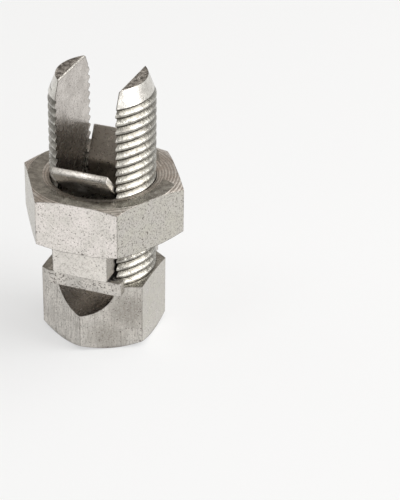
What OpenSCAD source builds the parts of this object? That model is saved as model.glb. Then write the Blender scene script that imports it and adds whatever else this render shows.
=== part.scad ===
// Split bolt connector with a captive pressure bar and a loose spacer bar.
// The bolt stands on its head. Its two legs rise at +X and -X, and the
// conductors lie between them along Y. All sizes are in millimetres.

/* [Split bolt] */
// Major diameter of the thread cut on the two legs
thread_d = 19.05; // [15.5:0.05:23.5]
// Pitch of the thread
thread_pitch = 1.5875; // [1.25:0.0125:2]
// Height of the bolt from under the head to the ends of the legs
bolt_h = 50.6; // [42:0.1:70]
// Width of the slot between the legs, which takes the conductors
slot_w = 11.31; // [9:0.01:13.6]
// Metal left under the round floor of the slot
floor_t = 7.4; // [5:0.1:9.5]
// How far each flat of the head stands proud of the thread
flat_proud = 0.345; // [0.2:0.005:0.6]
// Height of the head at its corners
corner_h = 12.6; // [10:0.1:15]
// Slope of the shoulder from the corners in to the thread
shoulder_angle = 10; // [3:1:30]
// Slope of the chamfer round the underside of the head
base_chamfer_angle = 30; // [20:1:45]
// How far the chamfer cuts in from the flats of the head
base_inset = 0.25; // [0.1:0.05:0.6]
// Length of the taper at the ends of the legs
tip_l = 3.7; // [2:0.1:5]
// How far the taper takes the ends of the legs in
tip_inset = 1.44; // [0.8:0.02:1.8]
// Radius on the sharp edges along the slot at the ends of the legs
tip_break = 0.25; // [0.1:0.05:0.5]

/* [Hex nut] */
// Wall between the thread and the flats of the nut
nut_wall = 3.71; // [3:0.01:5]
// Height of the nut
nut_h = 9.67; // [8:0.01:12]
// Angle of one corner of the nut from the open side of the slot
nut_turn = 32; // [0:1:59]
// Slope of the chamfer on the corners of the nut
nut_chamfer_angle = 20; // [15:1:30]
// How far the chamfer starts outside the flats of the nut
nut_chamfer_out = 0.27; // [0.1:0.01:0.6]
// Radial clearance between the nut and the thread
nut_fit = 0.075; // [0.03:0.005:0.1]
// How far the faced ring round the bore stands out from the thread
ring_out = 1.3; // [0.9:0.05:1.8]
// Depth of the faced ring
ring_depth = 0.25; // [0.1:0.05:0.6]
// Lead-in chamfer at the mouths of the bore
bore_chamfer = 0.5; // [0.3:0.05:0.8]

/* [Pressure bar] */
// Depth of the bar under the nut
bar_h = 5.97; // [4.5:0.01:7.5]
// How far each end of the bar stands out from the thread
bar_over = 1.5; // [0.8:0.05:2.5]
// Clearance between the bar or its tabs and each leg
bar_side = 0.4; // [0.2:0.005:0.7]
// Radius along the lower edges of the bar
bar_edge_r = 0.6; // [0.2:0.05:1.2]
// Gap between the top of the bar and the nut
nut_play = 0.08; // [0.05:0.01:0.3]
// Thickness of the two tabs that pass through the nut
tab_t = 1.3; // [1:0.05:1.6]
// Clearance between the edges of the tabs and the crests inside the nut
tab_play = 0.4; // [0.2:0.05:0.8]
// Bend radius on the outer face of the tabs
tab_bend_r = 2.5; // [1.5:0.1:3.5]
// Depth below the top of the nut at which the tabs start to bend
tab_bend_drop = 1.75; // [1.2:0.05:2.4]
// Length of the straight end of each tab past its bend
tab_end_l = 5.8; // [4:0.1:7]
// Angle to which the tab on the -Y side is spread
front_spread = 43; // [20:1:50]
// Angle to which the tab on the +Y side is spread
rear_spread = 27; // [20:1:50]

/* [Spacer bar] */
// Thickness of the spacer bar
spacer_h = 2.75; // [2:0.05:4]
// Clearance between the web of the spacer and each leg
web_side = 0.195; // [0.1:0.005:0.4]
// Gap at rest between the web and the round seat it would stop on
seat_gap = 0.3; // [0.25:0.01:0.5]
// Gap at rest between the spacer and the pressure bar
bar_gap = 0.7; // [0.6:0.05:6]
// Thickness of the flanges beside the slot
flange_t = 1.15; // [0.8:0.05:2]
// How far the flanges lap over each leg
flange_lap = 1.45; // [1:0.05:2.5]
// Clearance between the flanges and the faces of the head
flange_fit = 0.1; // [0.08:0.01:0.3]
// Radius on the upright edges of the flanges
flange_edge_r = 0.35; // [0.1:0.05:0.55]

/* [Hidden] */
$fn = 96;
over = 1;                          // how far a cutting shape runs past a face
bend_steps = 8;                    // flats that make up the bend of a tab

thread_r = thread_d / 2;
slot_r = slot_w / 2;
seat_z = floor_t + slot_r;         // centre of the round floor of the slot
head_af = thread_d + 2 * flat_proud;
head_corner = head_af / 2 / cos(30);
base_r = head_af / 2 - base_inset;
base_rise = (head_corner - base_r) * tan(base_chamfer_angle);
shoulder_rise = (head_corner - thread_r) * tan(shoulder_angle);

// Heights of the loose pieces, from the seat upwards
web_half = slot_r - web_side;
spacer_z = seat_z - sqrt(slot_r * slot_r - web_half * web_half) + seat_gap;
bar_z = spacer_z + spacer_h + bar_gap;
bar_top = bar_z + bar_h;
nut_z = bar_top + nut_play;
nut_top = nut_z + nut_h;

nut_af = thread_d + 2 * nut_wall;
nut_corner = nut_af / 2 / cos(30);
nut_face_r = nut_af / 2 + nut_chamfer_out;
nut_chamfer_rise = (nut_corner - nut_face_r) * tan(nut_chamfer_angle);
bore_r = thread_r + nut_fit;
nut_minor_r = thread_r - 5 / 8 * cos(30) * thread_pitch;

bar_half = slot_r - bar_side;
bar_end = thread_r + bar_over;
tab_corner_r = nut_minor_r - tab_play;
tab_out = sqrt(tab_corner_r * tab_corner_r - bar_half * bar_half);
tab_bend_z = nut_top - tab_bend_drop;

flange_half = slot_r + flange_lap;
flange_vee = head_corner + flange_fit / cos(30);   // apex of the flange's inner faces
flange_out = flange_vee - slot_r * tan(30) + flange_t;

// A hexagon with two corners on the Y axis
module hexagon(across_flats) {
    rotate([0, 0, 30]) circle(r = across_flats / 2 / cos(30), $fn = 6);
}

// The turned outline that the hexagonal head is cut to
module head_outline() {
    rotate_extrude()
        polygon([
            [0, 0],
            [base_r, 0],
            [head_corner, base_rise],
            [head_corner, corner_h],
            [thread_r, corner_h + shoulder_rise],
            [0, corner_h + shoulder_rise]
        ]);
}

// The turned shank that the thread is cut on, with its tapered end
module shank() {
    rotate_extrude()
        polygon([
            [0, floor_t / 2],
            [thread_r, floor_t / 2],
            [thread_r, bolt_h - tip_l],
            [thread_r - tip_inset, bolt_h],
            [0, bolt_h]
        ]);
}

// The slot that splits the shank, with its half-round floor
module slot() {
    translate([0, head_corner + over, seat_z])
        rotate([90, 0, 0]) cylinder(r = slot_r, h = 2 * (head_corner + over));
    translate([-slot_r, -head_corner - over, seat_z])
        cube([slot_w, 2 * (head_corner + over), bolt_h]);
}

// The small bevel that breaks the edge between each leg's end and the slot
module tip_bevels() {
    for (side = [-1, 1])
        translate([side * slot_r, 0, bolt_h])
            rotate([0, 45, 0])
                cube([tip_break * sqrt(2), thread_d, tip_break * sqrt(2)], center = true);
}

module split_bolt() {
    color("silver")
        difference() {
            union() {
                intersection() {
                    linear_extrude(corner_h + shoulder_rise) hexagon(head_af);
                    head_outline();
                }
                shank();
            }
            slot();
            tip_bevels();
        }
}

// The double-chamfered outline that the nut's corners are turned to
module nut_outline() {
    rotate_extrude()
        polygon([
            [0, nut_z],
            [nut_face_r, nut_z],
            [nut_corner, nut_z + nut_chamfer_rise],
            [nut_corner, nut_top - nut_chamfer_rise],
            [nut_face_r, nut_top],
            [0, nut_top]
        ]);
}

// The bore, with a faced ring at the top and a lead-in at both mouths
module nut_bore() {
    translate([0, 0, nut_z - over]) cylinder(r = bore_r, h = nut_h + 2 * over);
    rotate_extrude()
        polygon([
            [0, nut_z - over],
            [bore_r + bore_chamfer, nut_z - over],
            [bore_r + bore_chamfer, nut_z],
            [0, nut_z + bore_r + bore_chamfer]
        ]);
    rotate_extrude()
        polygon([
            [0, nut_top - ring_depth - bore_r],
            [bore_r + (thread_r + ring_out - bore_r) / 8, nut_top - ring_depth],
            [thread_r + ring_out, nut_top],
            [thread_r + ring_out, nut_top + over],
            [0, nut_top + over]
        ]);
}

module hex_nut() {
    color("gainsboro")
        difference() {
            intersection() {
                translate([0, 0, nut_z])
                    rotate([0, 0, nut_turn]) linear_extrude(nut_h) hexagon(nut_af);
                nut_outline();
            }
            nut_bore();
        }
}

// Points on an arc of radius r round the origin, starting on its -X side
function arc(r, from, to) =
    [for (i = [0:bend_steps])
        let (a = from + (to - from) * i / bend_steps) [-r * cos(a), r * sin(a)]];

// Side view of one tab, with the centre of its bend at the origin
module tab_profile(spread) {
    outer_r = tab_bend_r;
    inner_r = tab_bend_r + tab_t;
    along = tab_end_l * [sin(spread), cos(spread)];
    outer_bend = arc(outer_r, spread, 0);
    inner_bend = arc(inner_r, 0, spread);
    root = bar_top - over - tab_bend_z;
    polygon(concat(
        [[-outer_r, root], [-inner_r, root]],
        inner_bend,
        [inner_bend[bend_steps] + along, outer_bend[0] + along],
        outer_bend
    ));
}

// One tab on the +Y side: upright through the nut, bent outwards above it
module tab(spread) {
    translate([-bar_half, tab_out + tab_bend_r, tab_bend_z])
        rotate([90, 0, 90]) linear_extrude(2 * bar_half) tab_profile(spread);
}

// The bar that bears on the conductor, with rounded lower edges
module bar_block() {
    translate([0, bar_end, 0])
        rotate([90, 0, 0]) linear_extrude(2 * bar_end) {
            translate([-bar_half, bar_z + bar_edge_r])
                square([2 * bar_half, bar_h - bar_edge_r]);
            translate([-bar_half + bar_edge_r, bar_z])
                square([2 * (bar_half - bar_edge_r), bar_h]);
            for (side = [-1, 1])
                translate([side * (bar_half - bar_edge_r), bar_z + bar_edge_r])
                    circle(r = bar_edge_r);
        }
}

module pressure_bar() {
    color("lightgray") {
        bar_block();
        tab(rear_spread);
        rotate([0, 0, 180]) tab(front_spread);
    }
}

// Plan of one flange on the +Y side: flat outside with rounded corners, and
// two sloping faces inside that clear the corner of the head
module flange_plan() {
    difference() {
        polygon([
            [-flange_half, flange_vee - flange_half * tan(30)],
            [-web_half, flange_vee - web_half * tan(30)],
            [web_half, flange_vee - web_half * tan(30)],
            [flange_half, flange_vee - flange_half * tan(30)],
            [flange_half, flange_out],
            [-flange_half, flange_out]
        ]);
        for (side = [-1, 1])
            translate([side * flange_half, flange_out])
                square(2 * flange_edge_r, center = true);
    }
    for (side = [-1, 1])
        translate([side * (flange_half - flange_edge_r), flange_out - flange_edge_r])
            circle(r = flange_edge_r);
}

module spacer_bar() {
    color("darkgray")
        translate([0, 0, spacer_z])
            linear_extrude(spacer_h) {
                translate([-web_half, -flange_out + flange_t / 2])
                    square([2 * web_half, 2 * flange_out - flange_t]);
                flange_plan();
                mirror([0, 1]) flange_plan();
            }
}

split_bolt();
hex_nut();
pressure_bar();
spacer_bar();
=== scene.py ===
import math

import bmesh
import bpy
from mathutils import Matrix, Vector


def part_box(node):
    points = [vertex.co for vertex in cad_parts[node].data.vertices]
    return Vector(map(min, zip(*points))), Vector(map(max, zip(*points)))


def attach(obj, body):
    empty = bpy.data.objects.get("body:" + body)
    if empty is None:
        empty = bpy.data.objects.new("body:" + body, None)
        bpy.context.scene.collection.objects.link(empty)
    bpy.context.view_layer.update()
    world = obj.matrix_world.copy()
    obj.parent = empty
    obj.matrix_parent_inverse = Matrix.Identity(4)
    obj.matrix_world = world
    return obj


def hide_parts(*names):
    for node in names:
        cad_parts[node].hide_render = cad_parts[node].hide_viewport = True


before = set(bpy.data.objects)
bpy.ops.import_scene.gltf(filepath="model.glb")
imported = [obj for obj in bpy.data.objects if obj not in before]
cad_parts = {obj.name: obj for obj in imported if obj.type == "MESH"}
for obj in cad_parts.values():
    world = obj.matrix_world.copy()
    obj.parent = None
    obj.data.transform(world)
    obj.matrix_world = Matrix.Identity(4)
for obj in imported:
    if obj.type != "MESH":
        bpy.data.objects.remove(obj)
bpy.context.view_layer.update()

# Pieces are shaped in millimetres and brought to metres when they are finished.
MM = 0.001


def node_box(node):
    """Lowest and highest corner of a CAD node, in millimetres."""
    low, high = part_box(node)
    return low / MM, high / MM


# ---------------------------------------------------------------- sizes, mm

bolt_low, bolt_high = node_box("split_bolt")
nut_low, nut_high = node_box("hex_nut")
bar_low, bar_high = node_box("pressure_bar")
spacer_low, spacer_high = node_box("spacer_bar")

COS_30 = math.cos(math.radians(30))

# Split bolt
THREAD_R = 9.525
PITCH = 1.5875
SLOT_R = 5.655
SEAT_Z = 13.055
HEAD_CORNER = bolt_high.y
HEAD_FLAT = bolt_high.x
BASE_INSET = 0.25
BASE_ANGLE = math.radians(30)
BASE_R = HEAD_FLAT - BASE_INSET
BASE_RISE = (HEAD_CORNER - BASE_R) * math.tan(BASE_ANGLE)
CORNER_H = 12.6
SHOULDER_ANGLE = math.radians(10)
SHOULDER_RISE = (HEAD_CORNER - THREAD_R) * math.tan(SHOULDER_ANGLE)
ROD_START = CORNER_H - 4
BOLT_H = bolt_high.z
TIP_L = 3.7
TIP_INSET = 1.44
TIP_BREAK = 0.25

# Hex nut
NUT_FLAT = THREAD_R + 3.71
NUT_TURN = math.radians(32)
NUT_FACE_R = nut_high.y + 0.011
NUT_CORNER = NUT_FLAT / COS_30
NUT_CHAMFER = math.radians(20)
NUT_CHAMFER_RISE = (NUT_CORNER - NUT_FACE_R) * math.tan(NUT_CHAMFER)
RING_R = THREAD_R + 1.3
RING_DEPTH = 0.25
BORE_MOUTH_R = THREAD_R + 0.575
RING_INNER_R = THREAD_R + 0.1

# Pressure bar
BAR_HALF = bar_high.x
BAR_PROUD = 1.5
BAR_END = THREAD_R + BAR_PROUD
NUT_GAP = 0.08
BAR_TOP = nut_low.z - NUT_GAP
BAR_EDGE_R = 0.6
TAB_T = 1.3
TAB_PLAY = 0.4
TAB_CORNER_R = THREAD_R - 5 / 8 * COS_30 * PITCH - TAB_PLAY
TAB_OUT = math.sqrt(TAB_CORNER_R ** 2 - BAR_HALF ** 2)
TAB_BEND_R = 2.5
TAB_BEND_Z = nut_high.z - 1.75
TAB_END_L = 5.8
FRONT_SPREAD = math.radians(43)
REAR_SPREAD = math.radians(27)

# Spacer bar
WEB_PLAY = 0.195
WEB_HALF = SLOT_R - WEB_PLAY
FLANGE_HALF = spacer_high.x
FLANGE_OUT = spacer_high.y
VEE_PLAY = 0.1
FLANGE_VEE = HEAD_CORNER + VEE_PLAY / COS_30
FLANGE_EDGE_R = 0.35

# Thread form, as shares of the pitch
THREAD_DEPTH = 0.60
CREST_FLAT = 0.24
ROOT_FLAT = 0.16
NUT_THREAD_PLAY = 0.12
NUT_CREST_R = THREAD_R - THREAD_DEPTH + NUT_THREAD_PLAY

TURN_STEPS = 128
SMOOTH_BELOW = math.radians(32)
# How far a cutting block runs on, and how little a turned blank stands over
REACH = 40
OVER = 0.01
SKIN = 0.001


# ------------------------------------------------------- shaping with bmesh

def close_up(bm):
    """Merges doubles and turns every face outwards."""
    bmesh.ops.remove_doubles(bm, verts=bm.verts, dist=1e-5)
    bmesh.ops.recalc_face_normals(bm, faces=bm.faces)


def chain(bm, points):
    """A line of edges through the points."""
    verts = [bm.verts.new(p) for p in points]
    edges = [bm.edges.new(pair) for pair in zip(verts, verts[1:])]
    return verts, edges


def turned(outline):
    """A solid turned round the bolt's axis from (radius, height) points."""
    bm = bmesh.new()
    verts, edges = chain(bm, [(r, 0, z) for r, z in outline])
    bmesh.ops.spin(bm, geom=verts + edges, cent=(0, 0, 0), axis=(0, 0, 1),
                   angle=math.tau, steps=TURN_STEPS, use_merge=True)
    close_up(bm)
    return bm


def hexagon_bar(flat_r, low, high, turn):
    """A hexagonal bar on the bolt's axis. At turn 0 two corners are on Y."""
    bm = bmesh.new()
    corner_r = flat_r / COS_30
    bmesh.ops.create_cone(
        bm, cap_ends=True, segments=6, radius1=corner_r, radius2=corner_r,
        depth=high - low, matrix=Matrix.Translation((0, 0, (low + high) / 2))
        @ Matrix.Rotation(turn, 4, "Z"))
    close_up(bm)
    return bm


def threaded_rod(low, high, radius):
    """A right-hand thread: one straight row of profiles, spun up one pitch.

    It runs from below low to above high, with its ends drawn to the axis.
    """
    bm = bmesh.new()
    root_r = radius - THREAD_DEPTH
    flank = (1 - CREST_FLAT - ROOT_FLAT) / 2
    ease = 0.03
    # radius and height of one pitch, from the middle of a root upwards
    form = [
        (root_r, 0),
        (root_r + 0.04, ROOT_FLAT / 2),
        (radius - 0.05, ROOT_FLAT / 2 + flank - ease / 2),
        (radius, ROOT_FLAT / 2 + flank + ease),
        (radius, 1 - ROOT_FLAT / 2 - flank - ease),
        (radius - 0.05, 1 - ROOT_FLAT / 2 - flank + ease / 2),
        (root_r + 0.04, 1 - ROOT_FLAT / 2),
    ]
    count = math.ceil((high - low) / PITCH) + 2
    start = low - 1.5 * PITCH
    row = [(r, 0, start + (k + share) * PITCH)
           for k in range(count) for r, share in form]
    row.append((root_r, 0, start + count * PITCH))
    verts, edges = chain(bm, row)
    bmesh.ops.spin(bm, geom=verts + edges, cent=(0, 0, 0), axis=(0, 0, 1),
                   dvec=(0, 0, PITCH / TURN_STEPS), angle=math.tau,
                   steps=TURN_STEPS, use_merge=False)
    bmesh.ops.remove_doubles(bm, verts=bm.verts, dist=1e-3)
    for is_top in (False, True):
        rim = [e for e in bm.edges if e.is_boundary
               and (e.verts[0].co.z > (low + high) / 2) == is_top]
        end = bmesh.ops.extrude_edge_only(bm, edges=rim)["geom"]
        ring = [v for v in end if isinstance(v, bmesh.types.BMVert)]
        height = sum(v.co.z for v in ring) / len(ring)
        bmesh.ops.pointmerge(bm, verts=ring, merge_co=(0, 0, height))
    close_up(bm)
    return bm


def as_object(bm, name):
    mesh = bpy.data.meshes.new(name)
    bm.to_mesh(mesh)
    bm.free()
    made = bpy.data.objects.new(name, mesh)
    bpy.context.scene.collection.objects.link(made)
    return made


def joined(body, tool, operation):
    """The bmesh body united with, cut by, or kept inside the bmesh tool."""
    for shape in (body, tool):
        loose = sum(not e.is_manifold for e in shape.edges)
        if loose:
            raise ValueError(f"{loose} open edges in a shape that is to be joined")
    work, other = as_object(body, "work"), as_object(tool, "tool")
    boolean = work.modifiers.new("boolean", "BOOLEAN")
    boolean.operation = operation
    boolean.solver = "MANIFOLD"
    boolean.object = other
    bpy.context.view_layer.update()
    shaped = work.evaluated_get(bpy.context.evaluated_depsgraph_get())
    result = bmesh.new()
    result.from_mesh(shaped.to_mesh())
    shaped.to_mesh_clear()
    for spent in (work, other):
        mesh = spent.data
        bpy.data.objects.remove(spent)
        bpy.data.meshes.remove(mesh)
    return result


def soften(bm, width, angle):
    """Rounds the edges that turn more sharply than the angle."""
    sharp = [e for e in bm.edges
             if e.is_manifold and e.calc_face_angle() > math.radians(angle)]
    bmesh.ops.bevel(bm, geom=sharp, offset=width, offset_type="OFFSET",
                    affect="EDGES", segments=2, profile=0.5,
                    material=-1, clamp_overlap=True)


def finished(bm, name, body, node, finishes):
    """Brings a shape to metres, gives it its body, slots and finishes, and hides its CAD
    node.

    finishes is a list of (material, test); a face takes the last that fits.
    """
    for face in bm.faces:
        centre, normal = face.calc_center_median(), face.normal
        for index, (_, test) in enumerate(finishes):
            if test is None or test(centre, normal):
                face.material_index = index
    bmesh.ops.scale(bm, vec=(MM, MM, MM), verts=bm.verts)
    piece = as_object(bm, name)
    for material, _ in finishes:
        piece.data.materials.append(material)
    piece.data.shade_smooth()
    piece.data.set_sharp_from_angle(angle=SMOOTH_BELOW)
    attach(piece, body)
    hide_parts(node)
    return piece


# ----------------------------------------------------------------- finishes

class Finish:
    """A node tree for one metal finish, read from Object coordinates in mm."""

    def __init__(self, name):
        self.material = bpy.data.materials.new(name)
        self.material.use_nodes = True
        self.tree = self.material.node_tree
        self.metal = self.tree.nodes["Principled BSDF"]
        self.metal.inputs["Metallic"].default_value = 1.0
        where = self.tree.nodes.new("ShaderNodeTexCoord")
        scale = self.tree.nodes.new("ShaderNodeMapping")
        scale.inputs["Scale"].default_value = (1 / MM,) * 3
        self.link(where.outputs["Object"], scale.inputs["Vector"])
        self.place = scale.outputs["Vector"]
        self.heights = []

    def link(self, a, b):
        self.tree.links.new(a, b)

    def stretched(self, scale):
        """Place, drawn out by a different scale on each axis."""
        node = self.tree.nodes.new("ShaderNodeMapping")
        node.inputs["Scale"].default_value = scale
        self.link(self.place, node.inputs["Vector"])
        return node.outputs["Vector"]

    def noise(self, size, detail=3, place=None, roughness=0.55):
        """Soft blotches of about that size in mm."""
        node = self.tree.nodes.new("ShaderNodeTexNoise")
        node.inputs["Scale"].default_value = 1 / size
        node.inputs["Detail"].default_value = detail
        node.inputs["Roughness"].default_value = roughness
        self.link(place or self.place, node.inputs["Vector"])
        return node.outputs["Fac"]

    def cells(self, size):
        """How far a point is from the middle of its cell."""
        node = self.tree.nodes.new("ShaderNodeTexVoronoi")
        node.inputs["Scale"].default_value = 1 / size
        self.link(self.place, node.inputs["Vector"])
        return node.outputs["Distance"]

    def distance(self, centre):
        """How far a point is from the centre, in mm."""
        node = self.tree.nodes.new("ShaderNodeVectorMath")
        node.operation = "DISTANCE"
        node.inputs[1].default_value = centre
        self.link(self.place, node.inputs[0])
        return node.outputs["Value"]

    def axis_distance(self):
        """How far a point is from the bolt's axis, in mm."""
        node = self.tree.nodes.new("ShaderNodeVectorMath")
        node.operation = "LENGTH"
        self.link(self.stretched((1, 1, 0)), node.inputs[0])
        return node.outputs["Value"]

    def rings(self, spacing, wander=1.0):
        """Fine grooves turned round the bolt's axis."""
        node = self.tree.nodes.new("ShaderNodeTexWave")
        node.wave_type = "RINGS"
        node.rings_direction = "Z"
        node.inputs["Scale"].default_value = math.tau / 20 / spacing
        node.inputs["Distortion"].default_value = wander
        node.inputs["Detail"].default_value = 2
        node.inputs["Detail Scale"].default_value = 0.6
        self.link(self.place, node.inputs["Vector"])
        return node.outputs["Fac"]

    def stretch(self, value, low, high, to_low=0.0, to_high=1.0):
        """A value brought from one span to another, held at its ends."""
        node = self.tree.nodes.new("ShaderNodeMapRange")
        for key, number in (("From Min", low), ("From Max", high),
                            ("To Min", to_low), ("To Max", to_high)):
            node.inputs[key].default_value = number
        self.link(value, node.inputs["Value"])
        return node.outputs["Result"]

    def work(self, operation, a, b):
        node = self.tree.nodes.new("ShaderNodeMath")
        node.operation = operation
        for socket, value in zip(node.inputs, (a, b)):
            if isinstance(value, (int, float)):
                socket.default_value = value
            else:
                self.link(value, socket)
        return node.outputs[0]

    def between(self, share, a, b):
        """A colour between two colours."""
        node = self.tree.nodes.new("ShaderNodeMix")
        node.data_type = "RGBA"
        self.link(share, node.inputs["Factor"])
        for socket, value in ((node.inputs[6], a), (node.inputs[7], b)):
            if isinstance(value, tuple):
                socket.default_value = (*value, 1)
            else:
                self.link(value, socket)
        return node.outputs[2]

    def height(self, value, depth):
        """Adds a relief of that depth in mm."""
        self.heights.append((value, depth))

    def painted_shade(self, colour, reach=0.9, share=0.9):
        """Paints shade into a colour: darker in recesses and where pieces lie close
        together.
        """
        node = self.tree.nodes.new("ShaderNodeAmbientOcclusion")
        node.samples = RECESS_SAMPLES
        node.inputs["Distance"].default_value = reach * MM
        return self.between(self.stretch(node.outputs["AO"], 0.25, 0.85, share, 0),
                            colour, SHADE_DARK)

    def edge_shade(self, colour, width, share):
        """Paints shade into a colour in a thin broken line along the edges."""
        bevel = self.tree.nodes.new("ShaderNodeBevel")
        bevel.samples = EDGE_SAMPLES
        bevel.inputs["Radius"].default_value = width * MM
        flat = self.tree.nodes.new("ShaderNodeNewGeometry")
        turn = self.tree.nodes.new("ShaderNodeVectorMath")
        turn.operation = "DOT_PRODUCT"
        self.link(bevel.outputs["Normal"], turn.inputs[0])
        self.link(flat.outputs["Normal"], turn.inputs[1])
        line = self.stretch(turn.outputs["Value"], 0.93, 0.998, share, 0)
        broken = self.stretch(self.noise(0.7, 3), 0.40, 0.60, 0.55, 1)
        return self.between(self.work("MULTIPLY", line, broken), colour, EDGE_SHADE)

    def done(self, colour, roughness, edge=0.0):
        self.link(colour, self.metal.inputs["Base Color"])
        self.link(roughness, self.metal.inputs["Roughness"])
        normal = None
        if edge:
            bevel = self.tree.nodes.new("ShaderNodeBevel")
            bevel.samples = EDGE_SAMPLES
            bevel.inputs["Radius"].default_value = edge * MM
            normal = bevel.outputs["Normal"]
        for value, depth in self.heights:
            bump = self.tree.nodes.new("ShaderNodeBump")
            bump.inputs["Strength"].default_value = 1.0
            bump.inputs["Distance"].default_value = depth * MM
            self.link(value, bump.inputs["Height"])
            if normal:
                self.link(normal, bump.inputs["Normal"])
            normal = bump.outputs["Normal"]
        if normal:
            self.link(normal, self.metal.inputs["Normal"])
        return self.material


TIN = (0.78, 0.745, 0.695)
# Pale tin for the nut's flats painted as lit; every other flat takes a darker copy as
# painted shade
TIN_LIT = (0.90, 0.845, 0.805)
TIN_GREEN = (0.60, 0.58, 0.515)
TIN_GREY = (0.60, 0.575, 0.535)
TIN_DARK = (0.36, 0.335, 0.30)
PIT = (0.16, 0.14, 0.125)
# Colour of the painted shade in recesses and between pieces
SHADE_DARK = (0.07, 0.06, 0.05)
# Colour of the painted shade along the edges
EDGE_SHADE = (0.17, 0.15, 0.13)
RING_LIGHT = (0.84, 0.80, 0.75)
RING_DULL = (0.66, 0.59, 0.53)
RING_SPECK = (0.34, 0.29, 0.25)
RING_GROOVE = (0.30, 0.27, 0.24)
THREAD_LIGHT = (0.50, 0.485, 0.44)
THREAD_DULL = (0.28, 0.265, 0.24)
# Darker colour towards the root of the thread
THREAD_ROOT_DARK = (0.11, 0.10, 0.08)
TORN_LIGHT = (0.56, 0.52, 0.475)
TORN_DARK = (0.13, 0.115, 0.10)

EDGE_SAMPLES = 6
RECESS_SAMPLES = 8


def plated(name, light, dull, rough=0.32, pits=0.62, speckle=0.75, streaks=0.0,
           patches=()):
    """Tin on a flat face: cloudy, speckled and pitted, with duller patches.

    patches is a list of (centre, radius) in mm, where the tin has gone dark.
    """
    tin = Finish(name)
    cloud = tin.stretch(tin.noise(3.2, 4), 0.36, 0.64)
    colour = tin.between(cloud, light, dull)
    speck = tin.noise(0.34, 3, roughness=0.7)
    marks = tin.stretch(speck, 0.50, 0.66, 0, speckle)
    for centre, radius in patches:
        worn = tin.stretch(tin.distance(centre), radius * 0.35, radius, 1, 0)
        worn = tin.work("MULTIPLY", worn, tin.stretch(speck, 0.34, 0.58, 0.5, 1))
        marks = tin.work("MAXIMUM", marks, worn)
    colour = tin.between(marks, colour, TIN_DARK)
    if streaks:
        drawn = tin.noise(0.42, 4, tin.stretched((1.4, 1.4, 0.13)), 0.7)
        lines = tin.stretch(drawn, 0.48, 0.66, 0, streaks)
        colour = tin.between(lines, colour, TIN_DARK)
        tin.height(drawn, 0.07)
    holes = tin.stretch(tin.noise(0.30, 2, tin.stretched((1.1, 1.1, 1.1))),
                        pits, pits + 0.05)
    colour = tin.between(holes, colour, PIT)
    tin.height(speck, 0.03)
    tin.height(tin.work("SUBTRACT", 1.0, holes), 0.04)
    # Painted shade in a thin line along the edges, and in recesses and between pieces
    colour = tin.painted_shade(tin.edge_shade(colour, 0.30, 1.0), 1.4)
    roughness = tin.stretch(tin.noise(1.1, 4), 0.3, 0.7, rough - 0.07, rough + 0.10)
    return tin.done(colour, roughness, edge=0.14)


def turned_face(name):
    """The faced ends of the nut: turned grooves, brown specks and scratches."""
    tin = Finish(name)
    grooves = tin.rings(0.55, 1.0)
    fine = tin.rings(0.19, 2.0)
    specks = tin.stretch(tin.noise(0.40, 4, roughness=0.7), 0.50, 0.60)
    colour = tin.between(tin.stretch(tin.noise(2.5, 3), 0.35, 0.65),
                         RING_LIGHT, RING_DULL)
    colour = tin.between(tin.work("MULTIPLY", specks, 0.6), colour, RING_SPECK)
    colour = tin.between(tin.stretch(grooves, 0.0, 0.40, 0.75, 0), colour,
                         RING_GROOVE)
    # Painted shade in a thin line along the edges, and in recesses and between pieces
    colour = tin.painted_shade(tin.edge_shade(colour, 0.14, 0.5))
    tin.height(grooves, 0.035)
    tin.height(fine, 0.012)
    tin.height(tin.noise(0.30, 4, roughness=0.7), 0.05)
    roughness = tin.stretch(tin.noise(0.8, 3), 0.3, 0.7, 0.24, 0.42)
    return tin.done(colour, roughness, edge=0.12)


def thread_finish(name):
    """The rolled thread: bright crests, darker towards the root."""
    tin = Finish(name)
    cloud = tin.stretch(tin.noise(1.3, 4, roughness=0.65), 0.38, 0.62)
    colour = tin.between(cloud, THREAD_LIGHT, THREAD_DULL)
    deep = tin.stretch(tin.axis_distance(), THREAD_R - THREAD_DEPTH + 0.10,
                       THREAD_R - 0.10, 0.80, 0)
    # Painted shade in recesses and where the nut lies close round the thread
    colour = tin.painted_shade(tin.between(deep, colour, THREAD_ROOT_DARK), 0.6, 0.7)
    tin.height(tin.noise(0.40, 4, roughness=0.65), 0.07)
    tin.height(tin.noise(1.3, 2), 0.12)
    roughness = tin.stretch(tin.noise(0.9, 3), 0.3, 0.7, 0.16, 0.34)
    return tin.done(colour, roughness, edge=0.06)


def sheared_end(name):
    """The cropped ends of the legs: rough, brown-grey and pitted."""
    tin = Finish(name)
    torn = tin.noise(0.9, 5, roughness=0.75)
    colour = tin.between(tin.stretch(torn, 0.42, 0.60),
                         TORN_DARK, TORN_LIGHT)
    tin.height(torn, 0.30)
    tin.height(tin.cells(0.8), 0.10)
    roughness = tin.stretch(torn, 0.3, 0.7, 0.30, 0.5)
    return tin.done(colour, roughness, edge=0.10)


# ------------------------------------------------------------------- pieces

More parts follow.
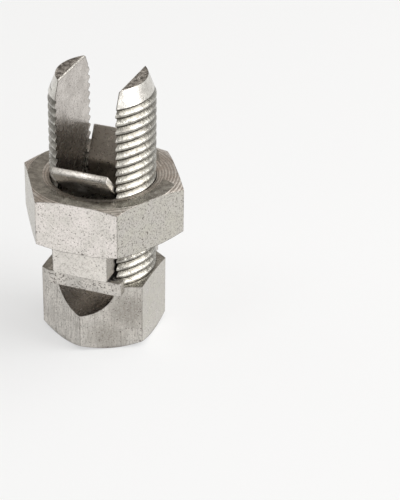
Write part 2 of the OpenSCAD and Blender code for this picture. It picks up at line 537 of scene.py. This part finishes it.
def slot_cutter():
    """The slot with its half-round floor, as a block to cut with."""
    bm = bmesh.new()
    start = bm.verts.new((SLOT_R, -REACH / 2, SEAT_Z))
    bmesh.ops.spin(bm, geom=[start], cent=(0, 0, SEAT_Z), axis=(0, 1, 0),
                   angle=math.pi, steps=TURN_STEPS // 2)
    ends = [v for v in bm.verts if len(v.link_edges) == 1]
    tops = []
    for last in ends:
        side = math.copysign(1, last.co.x)
        for x, z in ((SLOT_R, BOLT_H - TIP_BREAK), (SLOT_R + TIP_BREAK + 1, BOLT_H + 1),
                     (SLOT_R + TIP_BREAK + 1, BOLT_H + REACH)):
            top = bm.verts.new((side * x, -REACH / 2, z))
            bm.edges.new((last, top))
            last = top
        tops.append(last)
    bm.edges.new(tops)
    face = bmesh.ops.contextual_create(bm, geom=bm.edges)["faces"][0]
    out = bmesh.ops.extrude_face_region(bm, geom=[face])["geom"]
    bmesh.ops.translate(bm, vec=(0, REACH, 0),
                        verts=[v for v in out if isinstance(v, bmesh.types.BMVert)])
    close_up(bm)
    return bm


def head_solid():
    """The hexagon head, chamfered below and turned to a sloping shoulder."""
    return joined(
        hexagon_bar(HEAD_FLAT, 0, CORNER_H + SHOULDER_RISE, 0),
        turned([(0, -SKIN), (BASE_R, -SKIN), (HEAD_CORNER, BASE_RISE),
                (HEAD_CORNER + OVER, BASE_RISE), (HEAD_CORNER + OVER, CORNER_H),
                (THREAD_R, CORNER_H + SHOULDER_RISE),
                (0, CORNER_H + SHOULDER_RISE)]),
        "INTERSECT")


def make_split_bolt(flats, smooth_flats, thread, taper, ends, slot_face):
    shank = turned([
        (0, ROD_START), (THREAD_R, ROD_START), (THREAD_R, BOLT_H - TIP_L),
        (THREAD_R - TIP_INSET, BOLT_H), (0, BOLT_H)])
    rod = threaded_rod(ROD_START, BOLT_H, THREAD_R)
    bolt = joined(rod, shank, "INTERSECT")
    bolt = joined(bolt, head_solid(), "UNION")
    bolt = joined(bolt, slot_cutter(), "DIFFERENCE")
    shoulder = CORNER_H + SHOULDER_RISE
    taper_lean = TIP_INSET / math.hypot(TIP_INSET, TIP_L)

    def in_slot(c, n):
        if c.z < SEAT_Z and abs(n.y) < 0.2:
            if Vector((c.x, c.z - SEAT_Z)).length < SLOT_R + 0.02:
                return True
        return abs(abs(c.x) - SLOT_R) < 0.01 and c.z > SEAT_Z - 0.1

    return finished(bolt, "split_bolt_plated", "split_bolt", "split_bolt",
                    [
        (flats, None),
        (smooth_flats, lambda c, n: abs(n.x) > 0.95),
        (thread, lambda c, n: c.z > shoulder - 0.4
         and Vector((c.x, c.y)).length > THREAD_R - 1.2),
        (taper, lambda c, n: c.z > BOLT_H - TIP_L
         and abs(n.z - taper_lean) < 0.03),
        (slot_face, in_slot),
        (ends, lambda c, n: c.z > BOLT_H - 0.01),
    ])


def make_hex_nut(flats, shaded_flats, faced, thread):
    nut = joined(
        hexagon_bar(NUT_FLAT, nut_low.z, nut_high.z, NUT_TURN),
        turned([(0, nut_low.z), (NUT_FACE_R, nut_low.z),
                (NUT_CORNER, nut_low.z + NUT_CHAMFER_RISE),
                (NUT_CORNER + OVER, nut_low.z + NUT_CHAMFER_RISE),
                (NUT_CORNER + OVER, nut_high.z - NUT_CHAMFER_RISE),
                (NUT_CORNER, nut_high.z - NUT_CHAMFER_RISE),
                (NUT_FACE_R, nut_high.z), (0, nut_high.z)]),
        "INTERSECT")
    bore = turned([(0, nut_low.z - 1), (BORE_MOUTH_R, nut_low.z - 1),
                   (BORE_MOUTH_R, nut_low.z),
                   (NUT_CREST_R, nut_low.z + BORE_MOUTH_R - NUT_CREST_R),
                   (NUT_CREST_R, nut_high.z - RING_DEPTH
                    - (RING_INNER_R - NUT_CREST_R)),
                   (RING_INNER_R, nut_high.z - RING_DEPTH),
                   (RING_R, nut_high.z), (RING_R, nut_high.z + 1),
                   (0, nut_high.z + 1)])
    nut = joined(nut, bore, "DIFFERENCE")
    tap = threaded_rod(nut_low.z, nut_high.z, THREAD_R + NUT_THREAD_PLAY)
    nut = joined(nut, tap, "DIFFERENCE")
    return finished(nut, "hex_nut_plated", "hex_nut", "hex_nut", [
        (flats, None),
        # Every other flat of the nut takes a darker copy of the same tin: painted shade
        (shaded_flats, lambda c, n:
         math.sin(3 * (math.atan2(n.y, n.x) - NUT_TURN)) > 0),
        (faced, lambda c, n: abs(n.z) > 0.9),
        (thread, lambda c, n: Vector((c.x, c.y)).length < THREAD_R + 0.3),
    ])


def tab_solid(spread, side):
    """One tab: a flat strip drawn up through the nut, then bent outwards."""
    bm = bmesh.new()
    bmesh.ops.create_grid(bm, x_segments=1, y_segments=1, size=0.5)
    bmesh.ops.scale(bm, vec=(2 * BAR_HALF, TAB_T, 1), verts=bm.verts)
    bmesh.ops.translate(bm, vec=(0, TAB_OUT - TAB_T / 2, BAR_TOP - 1), verts=bm.verts)

    def draw(face, vec):
        out = bmesh.ops.extrude_face_region(bm, geom=[face])["geom"]
        verts = [v for v in out if isinstance(v, bmesh.types.BMVert)]
        bmesh.ops.translate(bm, vec=vec, verts=verts)
        return next(f for f in out if isinstance(f, bmesh.types.BMFace))

    first = next(iter(bm.faces))
    top = draw(first, (0, 0, TAB_BEND_Z - BAR_TOP + 1))
    bent = bmesh.ops.spin(bm, geom=[top], cent=(0, TAB_OUT + TAB_BEND_R, TAB_BEND_Z),
                          axis=(-1, 0, 0), angle=spread, steps=12)["geom_last"]
    end = next(f for f in bent if isinstance(f, bmesh.types.BMFace))
    draw(end, Vector((0, math.sin(spread), math.cos(spread))) * TAB_END_L)
    inside = [f for f in bm.faces if all(len(e.link_faces) > 2 for e in f.edges)]
    bmesh.ops.delete(bm, geom=inside, context="FACES_ONLY")
    if side < 0:
        bmesh.ops.rotate(bm, verts=bm.verts, cent=(0, 0, 0),
                         matrix=Matrix.Rotation(math.pi, 3, "Z"))
    close_up(bm)
    return bm


def make_pressure_bar(plate, sides, shaded_rear_tab):
    block = bmesh.new()
    bmesh.ops.create_cube(block, size=1)
    bmesh.ops.scale(block, vec=(2 * BAR_HALF, 2 * BAR_END, BAR_TOP - bar_low.z),
                    verts=block.verts)
    bmesh.ops.translate(block, vec=(0, 0, (BAR_TOP + bar_low.z) / 2), verts=block.verts)
    under = [e for e in block.edges
             if all(v.co.z < bar_low.z + 0.01 for v in e.verts)
             and abs(e.verts[0].co.x - e.verts[1].co.x) < 0.01]
    bmesh.ops.bevel(block, geom=under, offset=BAR_EDGE_R, offset_type="OFFSET",
                    affect="EDGES", segments=6, profile=0.5, material=-1)
    soften(block, 0.12, 60)
    bar = block
    for spread, side in ((REAR_SPREAD, 1), (FRONT_SPREAD, -1)):
        tab = tab_solid(spread, side)
        soften(tab, 0.15, 60)
        bar = joined(bar, tab, "UNION")
    return finished(bar, "pressure_bar_plated", "pressure_bar", "pressure_bar",
                    [
                        (plate, None),
                        (sides, lambda c, n: abs(n.x) > 0.5 and c.z < BAR_TOP),
                        # The rear tab takes a darker copy of the bar's tin: painted shade
                        (shaded_rear_tab, lambda c, n: c.z > nut_low.z and abs(n.z) < 0.75
                         and abs(n.x) < 0.3 and abs(n.y) > 0.5 and c.y > 0),
                    ])


def make_spacer_bar(plate):
    bm = bmesh.new()
    lean = math.tan(math.radians(30))
    quarter = [(FLANGE_HALF, FLANGE_OUT), (FLANGE_HALF, FLANGE_VEE - FLANGE_HALF * lean),
               (WEB_HALF, FLANGE_VEE - WEB_HALF * lean)]
    plan = (quarter + [(x, -y) for x, y in reversed(quarter)]
            + [(-x, -y) for x, y in quarter] + [(-x, y) for x, y in reversed(quarter)])
    face = bm.faces.new([bm.verts.new((x, y, spacer_low.z)) for x, y in plan])
    out = bmesh.ops.extrude_face_region(bm, geom=[face])["geom"]
    bmesh.ops.translate(bm, vec=(0, 0, spacer_high.z - spacer_low.z),
                        verts=[v for v in out if isinstance(v, bmesh.types.BMVert)])
    close_up(bm)
    outer = [e for e in bm.edges if abs(e.verts[0].co.z - e.verts[1].co.z) > 1
             and abs(e.verts[0].co.y) > FLANGE_OUT - 0.01]
    bmesh.ops.bevel(bm, geom=outer, offset=FLANGE_EDGE_R, offset_type="OFFSET",
                    affect="EDGES", segments=6, profile=0.5, material=-1)
    soften(bm, 0.1, 50)
    return finished(bm, "spacer_bar_plated", "spacer_bar", "spacer_bar",
                    [(plate, None)])


# ---------------------------------------------------------- camera and stage

CAMERA_AZIMUTH = math.radians(19.7556)
CAMERA_ELEVATION = math.radians(30.0121)
CAMERA_ROLL = math.radians(1.1085)
CAMERA_DISTANCE = 0.32137
CAMERA_LENS = 127.7
# From the middle of the bolt to where the camera looks, to its right and down
LOOK_RIGHT = 0.01747
LOOK_DOWN = 0.00596
LOOK_HEIGHT = 0.022


def make_camera():
    back = Vector((math.sin(CAMERA_AZIMUTH) * math.cos(CAMERA_ELEVATION),
                   -math.cos(CAMERA_AZIMUTH) * math.cos(CAMERA_ELEVATION),
                   math.sin(CAMERA_ELEVATION)))
    level = Vector((math.cos(CAMERA_AZIMUTH), math.sin(CAMERA_AZIMUTH), 0))
    roll = Matrix.Rotation(CAMERA_ROLL, 3, back)
    right = roll @ level
    up = back.cross(right)
    aim = Vector((0, 0, LOOK_HEIGHT)) + right * LOOK_RIGHT - up * LOOK_DOWN
    camera = bpy.data.objects.new("camera", bpy.data.cameras.new("camera"))
    bpy.context.scene.collection.objects.link(camera)
    camera.data.lens = CAMERA_LENS
    camera.data.clip_start = 0.01
    placed = Matrix((right, up, back)).transposed().to_4x4()
    placed.translation = aim + back * CAMERA_DISTANCE
    camera.matrix_world = placed
    bpy.context.scene.camera = camera


PAPER = 0.896
PAPER_GLOW = 0.6
PAPER_BRIGHT = 0.915


def make_floor():
    bm = bmesh.new()
    bmesh.ops.create_grid(bm, x_segments=1, y_segments=1, size=6)
    floor = as_object(bm, "floor")
    paper = bpy.data.materials.new("white_paper")
    paper.use_nodes = True
    base = paper.node_tree.nodes["Principled BSDF"]
    base.inputs["Base Color"].default_value = (PAPER, PAPER, PAPER, 1)
    base.inputs["Roughness"].default_value = 0.9
    base.inputs["Specular IOR Level"].default_value = 0.0
    tree = paper.node_tree
    glow = tree.nodes.new("ShaderNodeEmission")
    glow.inputs["Color"].default_value = (PAPER_BRIGHT, PAPER_BRIGHT, PAPER_BRIGHT, 1)
    rays = tree.nodes.new("ShaderNodeLightPath")
    share = None
    for kind in ("Is Camera Ray", "Is Glossy Ray", "Is Transmission Ray"):
        if share is None:
            share = rays.outputs[kind]
            continue
        either = tree.nodes.new("ShaderNodeMath")
        either.operation = "MAXIMUM"
        tree.links.new(share, either.inputs[0])
        tree.links.new(rays.outputs[kind], either.inputs[1])
        share = either.outputs[0]
    part = tree.nodes.new("ShaderNodeMath")
    part.operation = "MULTIPLY"
    part.inputs[1].default_value = PAPER_GLOW
    tree.links.new(share, part.inputs[0])
    mix = tree.nodes.new("ShaderNodeMixShader")
    tree.links.new(part.outputs[0], mix.inputs["Fac"])
    tree.links.new(base.outputs["BSDF"], mix.inputs[1])
    tree.links.new(glow.outputs["Emission"], mix.inputs[2])
    tree.links.new(mix.outputs["Shader"], tree.nodes["Material Output"].inputs["Surface"])
    floor.data.materials.append(paper)


def softbox(name, place, size, power):
    """A rectangular area lamp that faces the middle of the bolt."""
    lamp = bpy.data.lights.new(name, "AREA")
    lamp.shape = "RECTANGLE"
    lamp.size, lamp.size_y = size
    lamp.energy = power
    box = bpy.data.objects.new(name, lamp)
    bpy.context.scene.collection.objects.link(box)
    box.location = place
    aim = Vector((0, 0, 0.02)) - Vector(place)
    box.rotation_euler = aim.to_track_quat("-Z", "Y").to_euler()


def towards(azimuth, elevation):
    """A direction. Azimuth 0 is +Y and 90 is +X; both are in degrees."""
    a, e = math.radians(azimuth), math.radians(elevation)
    return Vector((math.sin(a) * math.cos(e), math.cos(a) * math.cos(e), math.sin(e)))


# Parts of the room: direction, inner and outer half-angle in degrees, colour
ROOM_BASE = (0.60, 0.60, 0.59)
ROOM = [
    ((100, 25), 25, 65, (1.25, 1.25, 1.25)),
    ((0, 90), 18, 42, (0.40, 0.385, 0.36)),
    ((192, 20), 24, 46, (0.07, 0.065, 0.055)),
    ((-36, 27), 18, 40, (0.42, 0.385, 0.35)),
    ((38, 43), 10, 25, (2.3, 2.3, 2.25)),
]


def make_room():
    """Pale room light, brighter to the right, with dim stretches of wall."""
    world = bpy.data.worlds.new("studio")
    bpy.context.scene.world = world
    world.use_nodes = True
    tree = world.node_tree
    where = tree.nodes.new("ShaderNodeTexCoord")
    colour = None
    for (azimuth, elevation), inner, outer, shade in ROOM:
        facing = tree.nodes.new("ShaderNodeVectorMath")
        facing.operation = "DOT_PRODUCT"
        facing.inputs[1].default_value = towards(azimuth, elevation)
        tree.links.new(where.outputs["Generated"], facing.inputs[0])
        share = tree.nodes.new("ShaderNodeMapRange")
        share.interpolation_type = "SMOOTHSTEP"
        share.inputs["From Min"].default_value = math.cos(math.radians(outer))
        share.inputs["From Max"].default_value = math.cos(math.radians(inner))
        tree.links.new(facing.outputs["Value"], share.inputs["Value"])
        mix = tree.nodes.new("ShaderNodeMix")
        mix.data_type = "RGBA"
        tree.links.new(share.outputs["Result"], mix.inputs["Factor"])
        if colour is None:
            mix.inputs[6].default_value = (*ROOM_BASE, 1)
        else:
            tree.links.new(colour, mix.inputs[6])
        mix.inputs[7].default_value = (*shade, 1)
        colour = mix.outputs[2]
    tree.links.new(colour, tree.nodes["Background"].inputs["Color"])


# ------------------------------------------------------------------ assembly

bpy.context.scene.view_settings.view_transform = "Standard"
make_camera()
make_floor()
make_room()
softbox("front_softbox", (-0.16, -0.22, 0.46), (0.14, 0.14), 0.22)
softbox("right_softbox", (0.62, 0.10, 0.40), (0.5, 0.5), 3.6)

# One nut tin in a lit copy and a darker painted-shade copy, on alternate flats
nut_lit_tin = plated("nut_lit_tin", TIN_LIT, TIN, 0.30, pits=0.625, speckle=0.55)
nut_shaded_tin = plated("nut_shaded_tin", TIN_GREEN, TIN_GREY, 0.30, pits=0.60)
head_flats = plated("head_flats", TIN, TIN_GREY, 0.34, pits=0.62, streaks=0.8,
                    patches=[((8.2, -8.1, 7.7), 6.0), ((5.0, -10.0, 3.0), 5.0)])
head_smooth = plated("head_smooth", TIN_GREEN, TIN_GREY, 0.30, pits=0.67, speckle=0.35,
                     streaks=0.3)
slot_faces = plated("slot_faces", (0.64, 0.60, 0.56), (0.48, 0.445, 0.41), 0.24,
                    pits=0.64, speckle=0.8)
bar_faces = plated("bar_faces", (0.86, 0.82, 0.765), TIN, 0.30, pits=0.66, speckle=0.6)
bar_sides = plated("bar_sides", (0.42, 0.40, 0.37), TIN_DARK, 0.34, pits=0.62)
# The bar's tin again, darker, as painted shade on the rear tab
rear_tab_shaded = plated("rear_tab_shaded", (0.52, 0.485, 0.44), (0.36, 0.33, 0.295), 0.32,
                   pits=0.60, speckle=0.8)
spacer_faces = plated("spacer_faces", (0.76, 0.72, 0.67), TIN_GREY, 0.34, pits=0.60)
threads = thread_finish("thread")
leg_ends = sheared_end("leg_ends")
leg_tapers = plated("leg_tapers", (0.82, 0.80, 0.745), TIN_GREY, 0.20, pits=0.70,
                    speckle=0.5)
nut_faces = turned_face("nut_faces")

make_split_bolt(head_flats, head_smooth, threads, leg_tapers, leg_ends, slot_faces)
make_hex_nut(nut_lit_tin, nut_shaded_tin, nut_faces, threads)
make_pressure_bar(bar_faces, bar_sides, rear_tab_shaded)
make_spacer_bar(spacer_faces)
